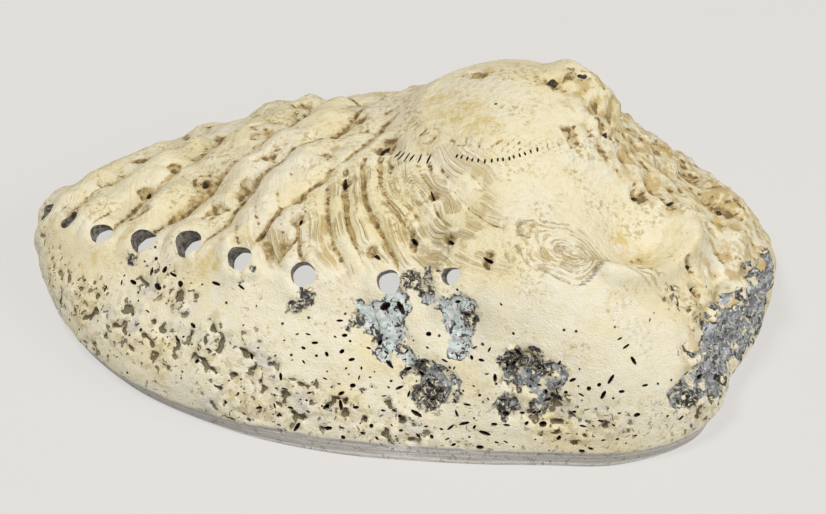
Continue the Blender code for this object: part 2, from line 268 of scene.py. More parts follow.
def dense_line(points, per_span=24):
    """Plan points along a smooth curve through the given ones."""
    points = np.asarray(points, float)
    places = np.linspace(0, len(points) - 1, (len(points) - 1) * per_span + 1)
    return np.stack([open_curve(points[:, 0], places), open_curve(points[:, 1], places)], -1)


def line_distance(x, y, line):
    nearest = np.full(np.shape(x), 1e9)
    for px, py in line:
        nearest = np.minimum(nearest, (x - px) ** 2 + (y - py) ** 2)
    return np.sqrt(nearest)


def spot(point, centre, radius):
    """Soft round mark in space, 1 at its centre and 0.5 near its radius."""
    distance = np.linalg.norm(point - np.asarray(centre, float), axis=-1) / radius
    return 1 / (1 + np.exp((distance - 1) * 6))


def lumps_of_size(point, size, shift):
    """Natural unevenness between -1 and 1, with lumps of one size."""
    move = Vector((shift, 2.3 * shift, 0.7 * shift))
    flat = point.reshape(-1, 3) / size
    values = [noise.noise(Vector(place) + move) for place in flat.tolist()]
    return np.array(values).reshape(point.shape[:-1])


def fold_place(point):
    """Where a point lies in the fan of folds: fold count, distance and heading from the pole."""
    dx = point[..., 0] - FOLD_POLE[0]
    dy = point[..., 1] - FOLD_POLE[1]
    radius = np.hypot(dx, dy)
    heading = np.degrees(np.arctan2(dy, dx))
    heading = np.where(heading > 90, heading - 360, heading)
    phase = (heading - FOLD_SWIRL * (radius - 18)) / FOLD_SPACING
    phase = phase + 0.4 * lumps_of_size(point, 17.0, 3.0)
    return phase, radius, heading


def fold_relief(point):
    """Low growth folds that fan out from the pole and end at the row of holes."""
    phase, radius, heading = fold_place(point)
    share = phase - np.floor(phase)
    wave = np.sin(np.pi * share**0.75) - 0.4
    strength = smooth_step(-148, -136, heading) * smooth_step(-84, -100, heading)
    return FOLD_HEIGHT * strength * smooth_step(13, 30, radius) * wave


def ridge_place(point):
    """Where a point lies on the parallel ridges: ridge count, place along them and strength."""
    turn = math.radians(RIDGE_DIRECTION)
    across = point[..., 0] * math.sin(turn) - point[..., 1] * math.cos(turn)
    along = point[..., 0] * math.cos(turn) + point[..., 1] * math.sin(turn)
    count = (across - RIDGE_START) / RIDGE_SPACING + 0.28 * lumps_of_size(point, 19.0, 3.0)
    radius = np.hypot(point[..., 0] - FOLD_POLE[0], point[..., 1] - FOLD_POLE[1])
    strength = smooth_step(-9, -17, across) * smooth_step(-78, -63, across)
    strength = strength * smooth_step(13, 30, radius)
    return count, along, strength


def ridge_relief(point):
    """Broad knobby ridges with narrow valleys, which cross the left half."""
    count, along, strength = ridge_place(point)
    index = np.floor(count)
    wave = np.sin(np.pi * (count - index)) - 0.55
    knob_place = along / KNOB_LENGTH + 0.37 * index + 0.7 * lumps_of_size(point, 15.0, 8.0)
    knobs = 0.85 + 0.25 * np.cos(2 * np.pi * knob_place)
    return RIDGE_HEIGHT * strength * wave * knobs


def behind_row(x, y, line):
    """1 behind the row of holes, fading to 0 on the front wall."""
    order = np.argsort(line[:, 0])
    row_y = np.interp(x, line[order, 0], line[order, 1])
    return smooth_step(-3.0, 4.0, y - row_y)


def row_relief(x, y, line):
    keel = KEEL_HEIGHT * bell(line_distance(x, y, line), KEEL_HALF_WIDTH)
    keel = keel * smooth_step(-86, -66, x)
    collars = np.zeros_like(x)
    for hole_x, hole_y, radius in HOLES:
        ring = np.hypot(x - hole_x, y - hole_y) - radius - 1.0
        collars = np.maximum(collars, COLLAR_HEIGHT * bell(ring, 1.8))
    return keel + collars


def top_scar_relief(x, y):
    """Raised, shallowly dished scar on the summit, with the lump at its far right."""
    raised = SCAR_HEIGHT * table(x, y, SCAR_CENTRE, SCAR_SIZES, SCAR_TURN)
    lump = SCAR_LUMP_HEIGHT * table(x, y, SCAR_LUMP_CENTRE, SCAR_LUMP_SIZES)
    relief = raised + lump + raised_mound(x, y, SCAR_DISH)
    for shoulder in SCAR_SHOULDERS:
        relief = relief + raised_mound(x, y, shoulder)
    return relief


def spire_basin_relief(x, y):
    """Worn spire: a smooth spoon that deepens towards its raised right-hand lip."""
    inside = table(x, y, BASIN_CENTRE, BASIN_SIZES, BASIN_TURN, 7.0)
    along = (x - BASIN_START[0]) * 0.97 - (y - BASIN_START[1]) * 0.25
    deepening = smooth_step(4, 30, along)
    depth = BASIN_DEPTH_NEAR + (BASIN_DEPTH_FAR - BASIN_DEPTH_NEAR) * deepening
    away = line_distance(x, y, dense_line(BASIN_LIP))
    lip = BASIN_LIP_HEIGHT * bell(away, BASIN_LIP_HALF_WIDTH)
    return lip - depth * inside


def lump_relief(point):
    """Encrusted lumps at the spire end."""
    total = 0.0
    for centre, radius, height in LUMPS:
        total = total + height * spot(point, centre, radius)
    return total


def patch_relief(point):
    """Places where the outer layer has broken away."""
    total = 0.0
    for centre, radius, depth in PATCHES:
        total = np.maximum(total, depth * spot(point, centre, radius))
    return -total


def unevenness(point):
    """Slow lumpiness of the whole shell, rougher at the spire end."""
    slow = lumps_of_size(point, 19.0, 0.0)
    quick = lumps_of_size(point, 7.5, 5.0)
    rough = smooth_step(42, 66, point[..., 0] + 0.4 * point[..., 1])
    return 0.9 * slow + (0.35 + 0.9 * rough) * quick


def smooth_places(x, y):
    """1 on the summit's scar and in the spire's basin, which have no folds."""
    scar = table(x, y, SCAR_CENTRE, (SCAR_SIZES[0] + 1, SCAR_SIZES[1] + 1), SCAR_TURN, 12.0)
    basin = table(x, y, BASIN_CENTRE, BASIN_SIZES, BASIN_TURN, 10.0)
    return np.clip(scar + basin, 0, 1)


def outer_relief(point, edge, line):
    """Height of all the relief above the smooth outer surface."""
    x, y = plan(point)
    above_row = behind_row(x, y, line)
    smooth = smooth_places(x, y)
    relief = (fold_relief(point) + ridge_relief(point)) * above_row * (1 - smooth)
    relief = relief + row_relief(x, y, line) * (1 - 0.5 * smooth)
    relief = relief + top_scar_relief(x, y) + spire_basin_relief(x, y)
    relief = relief + lump_relief(point) + patch_relief(point)
    relief = relief + unevenness(point) * (1 - 0.7 * smooth)
    lip = 1 - smooth_step(RIM_LIP_HEIGHT - 0.8, RIM_LIP_HEIGHT + 0.8, point[..., 2])
    return relief * smooth_step(0.0, 0.35, edge) - RIM_LIP_STEP * lip


def rim_lift(angle):
    """The rim rises a little between the three worn flats that it rests on."""
    turns = np.degrees(angle) % 360
    rise = 0.0
    for middle, half_width in RIM_ARCHES:
        rise = np.maximum(rise, np.exp(-((turns - middle) / half_width) ** 4))
    return RIM_ARCH_RISE * rise


def inner_surface(angle, reach):
    """Inner surface: the smooth shape set inwards by the wall's thickness."""
    point, edge = base_surface(angle, reach)
    normals = base_normals(angle, reach)
    wall = WALL_AT_RIM + (WALL_AT_TOP - WALL_AT_RIM) * smooth_step(0.05, 0.75, edge)
    back = smooth_step(-0.25, 0.75, np.cos(angle - math.radians(70)))
    spire = raised_mound(point[..., 0], point[..., 1], SPIRE_WALL)
    result = point - normals * (wall + spire)[..., None]
    shelf = SHELF_WIDTH * back * bell(edge, 0.16)
    result[..., 0] -= shelf * np.cos(angle)
    result[..., 1] -= shelf * np.sin(angle)
    result[..., 2] = np.maximum(result[..., 2], 0) + rim_lift(angle) * (1 - edge) ** 6
    return result


def find_on_surface(x, y):
    """Angle and reach of the smooth surface above a plan position."""
    angle = math.atan2(y - CENTRE[1], x - CENTRE[0])
    reaches = np.linspace(0.02, 0.98, 400)
    points = base_surface(np.full_like(reaches, angle), reaches)[0]
    best = np.argmin(np.hypot(points[:, 0] - x, points[:, 1] - y))
    return np.array([angle]), reaches[best:best + 1]


# Fine relief that only the visual model has

# Irregular round marks: plan position and radius
GOUGES = (
    (-61, -2, 1.7), (-48, -2, 1.9), (-38, -9, 2.0), (-43, -13, 2.0), (-61, -10, 1.6), (-54, -15, 1.7),
    (-48, 21, 1.6), (-37, 14, 2.4), (-56, 6, 1.2), (-34, 2, 1.7), (-15, -9, 1.5), (-24, -14, 1.2),
    (-23, -20, 1.1), (-15, 17, 1.6), (-21, 1, 0.9), (-6, -26, 1.2), (-25, -27, 1.5), (2, -23, 1.1),
    (5, -14, 0.8), (10, -25, 1.1), (19, -30, 1.0), (-8, 3, 2.2), (11, 21, 1.6), (39, 10, 1.7),
    (32, 3, 1.6), (40, 4, 1.3), (46, 18, 1.7), (49, 0, 1.6), (55, 1, 1.6), (67, 15, 2.6),
    (72, 19, 2.0), (61, -14, 1.0), (63, -18, 1.0), (67, -4, 1.3), (75, -3, 1.8), (52, -21, 1.5),
    (26, 17.4, 1.7), (30.5, 20.6, 1.7), (-70, 4, 1.5), (-66, 14, 1.5), (-30, 30, 1.9), (0, 36, 2.0),
    (20, 44, 2.2), (38, 38, 1.7), (52, 34, 2.0), (60, 30, 1.6), (-52, 34, 1.7), (-12, 44, 1.6),
)
# Ochre stains that have no depth; those in the spire's basin are painted shade in its deepest place
STAINS_AND_BASIN_SHADE = (
    (7, 8, 5.5), (2, 14, 4.0), (13, 2, 4.4), (11, 21, 6.0), (50, -16, 4.5), (46, -12, 3.0),
    (26, 18, 4.0), (52, -20, 3.0), (-41, -27, 3.4), (-36, -24, 2.6), (-70, -20, 3.0), (-62, -15, 3.0),
    (64, 12, 5.0), (43, -24, 2.6),
)
# Broken patches that show the pearly layer, and the slaty ones: centre in space and radius
PEARLY = (
    (-3, -36, 25, 4.6), (0, -38, 21.5, 4.2), (5, -40, 19, 2.4), (0, -34, 28, 3.2),
    (8, -33, 29, 3.2), (13.5, -35, 29, 4.0), (15, -38, 25, 3.4), (14, -40, 22, 2.0),
)
SLATY = (
    (10, -44, 15.5, 4.4), (6, -43, 18, 2.4), (13, -43.5, 17, 2.4), (29, -43.5, 21, 4.2),
    (34, -43.5, 20, 4.0), (26, -47, 14, 2.8), (33, -47, 14.5, 2.6), (78, -3, 13, 7.6),
    (75, -13, 15, 7.4), (71, -22, 16, 6.6), (66.5, -30, 15, 5.6), (62.5, -36, 14.5, 3.4),
    (79, 5, 16, 3.6), (56, 20, 34, 2.4),
)
# Dark crusts: one below each of the middle holes, and others in the broken patches
SCABS = (
    (-32.8, -31.2, 27.5, 2.6), (-30.5, -30.8, 29.5, 1.9), (-20, -34.6, 27, 2.8),
    (-44.5, -26, 25.5, 1.9), (-58.5, -22.5, 21.5, 2.1), (3, -31, 32, 2.4), (8, -30, 33, 2.6),
    (27, -43, 23, 3.0), (32, -42.5, 22.5, 2.4), (9, -45, 13.5, 3.4), (-8, -36, 23, 2.4),
    (16.5, -36, 28, 2.0), (7, -42.5, 18.5, 2.0), (63, -36, 12.5, 2.4), (26, -47, 14, 2.2),
)
# Pitted crust on the lower front wall
CRUSTS = (
    (-39, -41, 17, 5.0), (-33, -44, 15, 6.0), (-27, -46, 13, 5.0), (-19, -48, 10, 5.0),
    (-48, -39, 12, 6.0), (-58, -33, 12, 6.0), (-67, -27, 12, 5.0), (-72, -22, 10, 4.0),
    (-8, -49, 8, 5.0), (-30, -48, 8, 5.0), (36, -47, 12, 5.0), (47, -45, 11, 4.0),
    (70, -30, 8, 5.5), (66, -34, 8, 4.5), (-80, -9, 8, 4.0), (2, -50, 8, 4.0),
    (-53, -28, 21, 4.0), (-46, -33, 21, 3.5), (57, -24, 29, 3.0), (64, -23, 25, 3.2),
    (61, -30, 21, 2.6), (73, -26, 11, 4.0), (69, -33, 11, 3.0), (41, -47, 11, 4.0),
)
# Crest of the basin's lip
FIRM_LIP = ((43, -27.5), (50, -25), (56, -18.5), (60, -9), (58, 0))
# The knot of growth lines left of the spire's basin
KNOT = (34.5, -25.0)
KNOT_REACH = 9.0
GRAIN_PERIOD = 1.15
GRAIN_LINES_PER_FOLD = 4.2
# Worn grey lip along the rim
LIP_TOP = 3.6
# The wall that the deepest relief leaves
LEAST_WALL = 1.7
# Share of the wall that is worn away on the inside round the breathing holes
HOLE_THINNING = 0.72


def ragged(point, size, amount):
    """Unevenness that makes an outline ragged."""
    return amount * (lumps_of_size(point, size, 17.0) + 0.6 * lumps_of_size(point, size * 0.45, 23.0))


def nearness(point, spots, size=3.4, raggedness=0.55):
    """1 at a spot's centre, 0.5 at its ragged outline and less outside it."""
    nearest = np.full(point.shape[:-1], 9.0)
    for *centre, radius in spots:
        away = np.linalg.norm(point[..., :len(centre)] - np.array(centre, float), axis=-1)
        nearest = np.minimum(nearest, away / radius)
    return 1 - 0.5 * (nearest + ragged(point, size, raggedness))


def gouge_nearness(point):
    """1 at a gouge's centre and 0.5 at its ragged outline, drawn out along the folds."""
    nearest = np.full(point.shape[:-1], 9.0)
    for x, y, radius in GOUGES:
        outward = np.array([x - FOLD_POLE[0], y - FOLD_POLE[1]], float)
        outward = outward / np.linalg.norm(outward)
        along = (point[..., 0] - x) * outward[0] + (point[..., 1] - y) * outward[1]
        across = (point[..., 1] - y) * outward[0] - (point[..., 0] - x) * outward[1]
        nearest = np.minimum(nearest, np.hypot(across, along / 1.5) / radius)
    return 1 - 0.5 * (nearest + ragged(point, 2.4, 0.9))


def valley_share(point):
    """1 along the bottoms of the valleys between the broad ridges."""
    count, _, strength = ridge_place(point)
    share = count - np.floor(count)
    wide = bell(share, 0.17) + bell(1 - share, 0.09)
    patchy = smooth_step(-0.45, 0.25, lumps_of_size(point, 9.0, 30.0))
    return strength * np.clip(wide, 0, 1) * (0.3 + 0.7 * patchy)


def ridge_detail(point):
    """Deeper narrow bottoms of the valleys, and lobes and creases on the ridges."""
    count, _, strength = ridge_place(point)
    count = count + 0.07 * lumps_of_size(point, 4.0, 21.0)
    share = count - np.floor(count)
    groove = bell(share, 0.07) + bell(1 - share, 0.04)
    patchy = smooth_step(-0.4, 0.3, lumps_of_size(point, 9.0, 30.0))
    lobes = 1.5 * lumps_of_size(point, 9.0, 40.0) + 0.6 * lumps_of_size(point, 4.0, 47.0)
    cracks = np.clip(1 - 9 * np.abs(lumps_of_size(point, 9.5, 52.0)), 0, 1)
    cracks = cracks * smooth_step(-0.05, 0.3, lumps_of_size(point, 11.0, 57.0))
    return strength * (lobes - 1.5 * groove * patchy - 0.8 * cracks)


def knot_place(point):
    """Distance from the middle of the knot, and 1 inside it."""
    x, y = plan(point)
    distance = np.hypot((x - KNOT[0]) / 1.25, y - KNOT[1]) + 1.6 * lumps_of_size(point, 7.0, 12.0)
    return distance, smooth_step(KNOT_REACH + 1.5, KNOT_REACH - 1.5, distance)


def wrap_place(point):
    """Distance outside the basin's edge, and 1 in the band of growth lines that wraps it."""
    x, y = plan(point)
    distance = (ellipse_distance(x, y, BASIN_CENTRE, BASIN_SIZES, BASIN_TURN) - 1) * 13
    share = smooth_step(0, 1.5, distance) * smooth_step(8, 4, distance)
    share = share * smooth_step(-17, -21, y) * smooth_step(36, 42, x)
    return distance, share * (1 - knot_place(point)[1])


def ring_share(point):
    """1 where the growth lines lie in rings: in the knot and under the basin."""
    return smooth_step(0.94, 1.0, np.maximum(knot_place(point)[1], wrap_place(point)[1]))


def grain_place(point):
    """Count across the fine growth lines, place along them, and how strongly they show."""
    phase, radius, heading = fold_place(point)
    x, y = plan(point)
    knot_distance, at_knot = knot_place(point)
    basin_distance, at_basin = wrap_place(point)
    fan = phase * GRAIN_LINES_PER_FOLD + 1.3 * lumps_of_size(point, 8.0, 61.0)
    fan = fan + 0.4 * lumps_of_size(point, 3.2, 64.0)
    across = fan + at_knot * (knot_distance / GRAIN_PERIOD - fan)
    across = across + at_basin * (basin_distance / GRAIN_PERIOD - across)
    along = radius + at_knot * (20 * np.arctan2(y - KNOT[1], x - KNOT[0]) - radius)
    middle = smooth_step(-142, -128, heading) * smooth_step(-72, -88, heading)
    middle = middle * smooth_step(19, 25, radius)
    strength = np.clip(0.25 + 0.75 * middle + at_knot + at_basin, 0, 1)
    strength = strength * (1 - 0.85 * smooth_places(x, y))
    for share in (at_knot, at_basin):
        strength = strength * (1 - 4 * share * (1 - share)) ** 3
    return across, along, strength


def grain_detail(point):
    """Long grooves and swellings along the growth lines."""
    across, along, strength = grain_place(point)
    lines = np.stack([across, along / 22, np.zeros_like(across)], -1)
    broad = np.clip(1 - 2.2 * np.abs(lumps_of_size(lines, 4.4, 9.0)), 0, 1)
    swell = lumps_of_size(lines, 4.4, 14.0)
    patchy = smooth_step(-0.35, 0.25, lumps_of_size(point, 10.0, 67.0))
    outside_knot = 1 - 0.8 * knot_place(point)[1]
    return strength * outside_knot * (1.5 * swell - 1.5 * broad**2 * (0.3 + 0.7 * patchy))


def crust_share(point, line):
    """1 in the pitted crust of the lower front wall and of the spire end."""
    x, y = plan(point)
    front = 1 - behind_row(x, y, line)
    band = smooth_step(13, 7, point[..., 2] + 0.09 * x) * smooth_step(40, 10, x)
    band = band * smooth_step(-0.25, 0.3, lumps_of_size(point, 9.0, 44.0))
    spots = smooth_step(0.3, 0.6, nearness(point, CRUSTS))
    return front * np.clip(0.75 * band + spots, 0, 1) * smooth_step(LIP_TOP - 1, LIP_TOP + 1, point[..., 2])


def crust_detail(point, share):
    """Ragged pits a few millimetres wide between lumps."""
    coarse = lumps_of_size(point, 2.5, 44.0) + 0.5 * lumps_of_size(point, 1.5, 48.0)
    pits = smooth_step(0.2, 0.46, coarse)
    return share * (1.0 * np.abs(lumps_of_size(point, 4.2, 53.0)) - 1.2 * pits)


def patch_detail(point):
    """Broken patches: a sharp ragged step down to a rough floor."""
    pearly = smooth_step(0.44, 0.56, nearness(point, PEARLY))
    slaty = smooth_step(0.44, 0.56, nearness(point, SLATY))
    scabs = smooth_step(0.35, 0.6, nearness(point, SCABS))
    rough = np.abs(lumps_of_size(point, 2.4, 51.0)) + 0.5 * np.abs(lumps_of_size(point, 1.2, 60.0))
    floor = np.maximum(pearly, slaty)
    return floor * (1.6 * rough - 1.05) + scabs * (2.0 * rough - 0.5)


def gouge_detail(point):
    return -1.4 * smooth_step(0.35, 0.8, gouge_nearness(point))


def rough_share(point, line):
    """1 on the rough spire end, with the scar's right flank, and less on the back."""
    x, y = plan(point)
    slope = smooth_step(15, 21, y + 0.35 * x) * smooth_step(25, 31, x) * behind_row(x, y, line)
    right = np.maximum(slope, smooth_step(58, 67, x)) * smooth_step(12, 20, point[..., 2])
    back = 0.7 * smooth_step(12, 30, y) * smooth_step(-20, 5, x)
    return np.maximum(right, back) * (1 - smooth_places(x, y) * smooth_step(34, 25, x))


def skin_detail(point, smooth, line):
    """Small unevenness everywhere, and pits with sharp crests between them on the rough parts."""
    fine = 0.15 * lumps_of_size(point, 3.4, 70.0) + 0.08 * lumps_of_size(point, 1.7, 80.0)
    coarse = 1.5 * lumps_of_size(point, 6.5, 90.0) + 0.5 - 2.0 * np.abs(lumps_of_size(point, 4.6, 95.0))
    return (1 - 0.5 * smooth) * fine + rough_share(point, line) * coarse


def basin_detail(x, y):
    """The basin's deepest place close under its lip, and a firmer lip."""
    hollow = -2.6 * mound(x, y, (50, -13), (8, 6), -0.4) - 0.5 * mound(x, y, (37, -9), (11, 8))
    away = line_distance(x, y, dense_line(FIRM_LIP))
    return hollow + 2.5 * bell(away, 2.2)


def scar_detail(point):
    """A soft step round the summit's scar, with short ribs across it on the side of the row."""
    x, y = plan(point)
    away = (ellipse_distance(x, y, SCAR_CENTRE, SCAR_SIZES, SCAR_TURN) - 0.88) * 20
    heading = np.arctan2(y - SCAR_CENTRE[1], x - SCAR_CENTRE[0])
    ribs = np.cos(heading * 92)
    near_edge = bell(away, 2.2) * smooth_step(0.3, -0.5, np.sin(heading))
    ledge = 0.5 * bell(away + 1.5, 1.4)
    return near_edge * 0.3 * ribs + ledge


def fine_relief(point, edge, line):
    x, y = plan(point)
    smooth = smooth_places(x, y)
    height = (ridge_detail(point) + grain_detail(point)) * behind_row(x, y, line) * (1 - smooth)
    height = height + crust_detail(point, crust_share(point, line))
    height = height + patch_detail(point) + gouge_detail(point)
    height = height + skin_detail(point, smooth, line) + scar_detail(point) + basin_detail(x, y)
    return height * smooth_step(0.0, 0.12, edge)


def dressed_surface(angle, reach, line):
    """The shell's outer surface with its fine relief."""
    point, edge = base_surface(angle, reach)
    normals = base_normals(angle, reach)
    height = outer_relief(point, edge, line) + fine_relief(point, edge, line)
    wall = np.linalg.norm(point - inner_surface(angle, reach), axis=-1)
    height = np.maximum(height, LEAST_WALL - wall)
    result = point + normals * height[..., None]
    result[..., 2] = np.maximum(result[..., 2], 0) + rim_lift(angle) * (1 - edge) ** 6
    return result


def flared_inner_surface(angle, reach):
    """The inner surface, with the wall thinned round each breathing hole."""
    point = inner_surface(angle, reach)
    outer = base_surface(angle, reach)[0]
    thinning = np.zeros(len(point))
    for x, y, radius in HOLES:
        away = np.hypot(outer[:, 0] - x, outer[:, 1] - y)
        thinning = np.maximum(thinning, np.exp(-((away / (radius + 3.0)) ** 4)))
    return point + (outer - point) * (HOLE_THINNING * thinning)[:, None]


# Fine mesh

# Columns in the wide outer zone; the zones nearer the top have a half and a quarter of them
COLUMNS = 536
ZONE_ROWS = ((0.10, 12, 4), (0.26, 26, 2), (1.0, 112, 1))
INSIDE_ROWS = 44


def column_angles():
    """Column angles, closer together along the front and where the shell is longer."""
    angles = np.linspace(0, 2 * np.pi, 3601)
    middle = (angles[1:] + angles[:-1]) / 2
    front = 0.5 - 0.5 * np.sin(middle)
    weight = cyclic_curve(RIM_RADII, middle) * (0.55 + 0.75 * smooth_step(0.2, 0.6, front))
    total = np.concatenate([[0], np.cumsum(weight)])
    places = np.arange(COLUMNS) / COLUMNS * total[-1]
    return np.interp(places, total, angles)


def ring_plan():
    """For each ring from the top to the rim: its reach and how many columns it skips."""
    rings = []
    start = 0.0
    for end, count, skip in ZONE_ROWS:
        for step in range(1, count + 1):
            rings.append((start + (end - start) * step / count, skip))
        start = end
    return rings


def join_rings(upper, lower):
    """Faces between two closed rings, where one may have twice as many points."""
    if len(upper) > len(lower):
        return [face[::-1] for face in join_rings(lower, upper)]
    faces = []
    count = len(upper)
    for i in range(count):
        j = (i + 1) % count
        if len(lower) == count:
            faces.append((upper[i], lower[i], lower[j], upper[j]))
        else:
            a, b, c = lower[2 * i], lower[2 * i + 1], lower[2 * j]
            faces += [(upper[i], a, b), (upper[i], b, upper[j]), (upper[j], b, c)]
    return faces


def surface_points(rows, surface, *more):
    """Points of a surface, for rows of angles and reaches."""
    angles = np.concatenate([row[0] for row in rows])
    reaches = np.concatenate([row[1] for row in rows])
    return surface(angles, reaches, *more)


def fine_shell(line):
    """One closed mesh: outer rings from the top to the rim, then inner rings back up."""
    angles = column_angles()
    top = (np.array([0.0]), np.array([0.0]))
    outer = [top]
    for reach, skip in ring_plan():
        outer.append((angles[::skip], np.full(len(angles[::skip]), reach)))
    inner_angles = angles[::2]
    inner = [(inner_angles, np.full(len(inner_angles), 1.0 - k / INSIDE_ROWS)) for k in range(INSIDE_ROWS)]
    inner.append(top)
    points = np.concatenate([
        surface_points(outer, dressed_surface, line),
        surface_points(inner, flared_inner_surface),
    ])
    sizes = [len(row[0]) for row in outer + inner]
    rings = [list(range(end - size, end)) for end, size in zip(np.cumsum(sizes).tolist(), sizes)]
    fan = list(zip(rings[1], rings[1][1:] + rings[1][:1]))
    faces = [(0, this, following) for this, following in fan]
    for k in range(1, len(rings) - 2):
        if k == len(outer) - 1:
            outer_faces = len(faces)
        faces += join_rings(rings[k], rings[k + 1])
    fan = list(zip(rings[-2], rings[-2][1:] + rings[-2][:1]))
    faces += [(rings[-1][0], following, this) for this, following in fan]
    mesh = bpy.data.meshes.new("abalone_shell")
    mesh.from_pydata(((points + TO_ORIGIN) * MM).tolist(), [], faces)
    inside = np.arange(len(faces)) >= outer_faces
    mesh.polygons.foreach_set("material_index", inside.astype(np.int32))
    mesh.update()
    return mesh


# Holes and slots

SLOT_COUNT = 215
SLOT_SEED = 5
SLOT_SIDES = 8
SLOT_GAP = 0.5
# How far the slots' rods stand above the surface
SLOT_TOP = 1.4
# Pits at known places: plan position, width, length, turn in degrees
KNOWN_PITS = (
    (-2, -35, 1.5, 2.6, 40), (1.5, -35.2, 1.3, 3.2, 110), (8, -39, 1.0, 1.2, 0), (16, 8, 0.7, 0.8, 0),
    (26, 17.4, 1.7, 2.6, 30), (30.5, 20.6, 1.5, 2.2, 20), (32, 26.5, 1.5, 2.2, 60), (-8, 3, 1.6, 2.8, 60),
    (61, -14, 1.1, 1.2, 0), (52, -21, 0.8, 1.8, 10), (63, -18, 0.8, 2.4, 80), (-5, -27, 0.9, 2.2, 140),
    (39, 10, 1.0, 1.5, 30), (49, 0, 1.0, 1.6, 20), (55.5, 1, 0.9, 1.5, 50), (67, 14, 1.4, 2.2, 70),
    (72, 19, 1.3, 2.0, 10), (75, -3, 1.2, 2.2, 80), (34, -47, 1.3, 1.7, 20), (26, -47, 1.3, 1.8, 150),
    (46, -44, 0.9, 2.2, 90), (70, -29, 1.4, 1.7, 0), (66.5, -33, 1.3, 1.6, 0), (-61, -2, 0.9, 1.4, 50),
    (-48, -2, 1.0, 1.5, 30), (-15, -9, 0.8, 3.0, 95), (-23, -20, 0.7, 1.8, 80), (5, -14, 0.6, 2.4, 115),
    (10, -25, 0.8, 2.6, 140), (2, -23, 0.9, 2.0, 130), (19, -30, 0.8, 2.2, 150), (-51, -27, 1.1, 1.6, 60),
    (-47, -30.5, 1.2, 1.7, 120), (-52, -30, 1.2, 1.9, 140), (-54, -26.5, 0.7, 2.2, 80),
)
# Small sockets and ribs along the scar's edge: plan line, count, width and length
SMALL_ROWS = (
    (((8.5, -5.2), (13, -6.9), (18, -6.9), (22, -5.4), (26, -2.8)), 15, (0.5, 0.85)),
    (((-4.6, -0.6), (-3, -2), (-0.5, -3.4), (3, -4.4)), 6, (0.5, 2.4)),
)
# Breathing holes: how uneven they are, and how long their cutting bars are
HOLE_UNEVENNESS = 0.16
HOLE_BAR = 19.0
HOLE_SIDES = 44


def rod_mesh(mesh_builder, place, normal, size, heading, depth):
    """Tapered oval rod that stands on the surface and reaches below it.

    The heading is the plan direction of its length; 90 degrees points up the front wall.
    """
    width, length = size
    upright = Vector(normal.tolist()).normalized()
    ahead = Vector((math.cos(heading), math.sin(heading), 0.05))
    ahead = (ahead - upright * ahead.dot(upright)).normalized()
    turn = Matrix((ahead, upright.cross(ahead), upright)).transposed().to_4x4()
    middle = Vector((place + normal * (SLOT_TOP - depth) / 2 + TO_ORIGIN).tolist()) * MM
    bmesh.ops.create_cone(
        mesh_builder,
        cap_ends=True,
        segments=SLOT_SIDES,
        radius1=0.34 * width * MM,
        radius2=0.66 * width * MM,
        depth=(SLOT_TOP + depth) * MM,
        matrix=Matrix.Translation(middle) @ turn @ Matrix.Diagonal((length / width, 1, 1, 1)),
    )


def slot_density(point):
    """How many slots the front wall has at a place, from 0 to 1."""
    x, _, z = point
    middle = smooth_step(-34, -22, x) * smooth_step(58, 44, x) * smooth_step(27, 20, z)
    left = smooth_step(-64, -57, x) * smooth_step(-36, -42, x) * smooth_step(12, 16, z)
    return 0.14 + 0.86 * max(middle, 0.9 * left) - 0.1 * smooth_step(50, 60, x)


def random_slots(line, taken):
    """Scattered slots on the front wall, clear of each other and of what is there."""
    chance = np.random.RandomState(SLOT_SEED)
    slots = []
    while len(slots) < SLOT_COUNT:
        angle = math.radians(chance.uniform(183, 346))
        reach = chance.uniform(0.5, 0.985)
        width = 0.38 + 0.6 * chance.uniform(0, 1) ** 2
        length = width * (1.0 + 2.4 * chance.uniform(0, 1) ** 1.4)
        spin = chance.uniform(0, math.pi)
        keep = chance.uniform(0, 1)
        point = base_surface(np.array([angle]), np.array([reach]))[0][0]
        on_front = behind_row(point[:1], point[1:2], line)[0] < 0.02
        if not on_front or point[2] < LIP_TOP + 0.5 or keep > slot_density(point):
            continue
        spare = [np.linalg.norm(point - other) - size - length / 2 for other, size in taken]
        if min(spare) > SLOT_GAP:
            taken.append((point, length / 2))
            slots.append((angle, reach, (width, length), spin))
    return slots


def points_along(plan_line, count):
    """Evenly numbered plan points and headings along a smooth line."""
    curve = dense_line(plan_line)
    places = np.linspace(2, len(curve) - 3, count).astype(int)
    ahead = curve[places + 2] - curve[places - 2]
    return curve[places], np.arctan2(ahead[:, 1], ahead[:, 0])


def slot_cutter(line):
    """Rods for the known pits, the scar's sockets and ribs, and the scattered slots."""
    taken = [(base_surface(*find_on_surface(x, y))[0][0], radius + 1.6) for x, y, radius in HOLES]
    slots = []
    for x, y, width, length, turn in KNOWN_PITS:
        angle, reach = find_on_surface(x, y)
        taken.append((base_surface(angle, reach)[0][0], length / 2))
        slots.append((angle[0], reach[0], (width, length), math.radians(turn)))
    for plan_line, count, size in SMALL_ROWS:
        for (x, y), heading in zip(*points_along(plan_line, count)):
            angle, reach = find_on_surface(x, y)
            slots.append((angle[0], reach[0], size, heading + math.pi / 2))
    slots += random_slots(line, taken)
    angles = np.array([slot[0] for slot in slots])
    reaches = np.array([slot[1] for slot in slots])
    places = dressed_surface(angles, reaches, line)
    normals = base_normals(angles, reaches)
    mesh_builder = bmesh.new()
    for slot, place, normal in zip(slots, places, normals):
        depth = 1.1 + 0.7 * min(slot[2][0], 1.2)
        rod_mesh(mesh_builder, place, normal, slot[2], slot[3], depth)
    return cutter_object("slots", mesh_builder, pit_material())


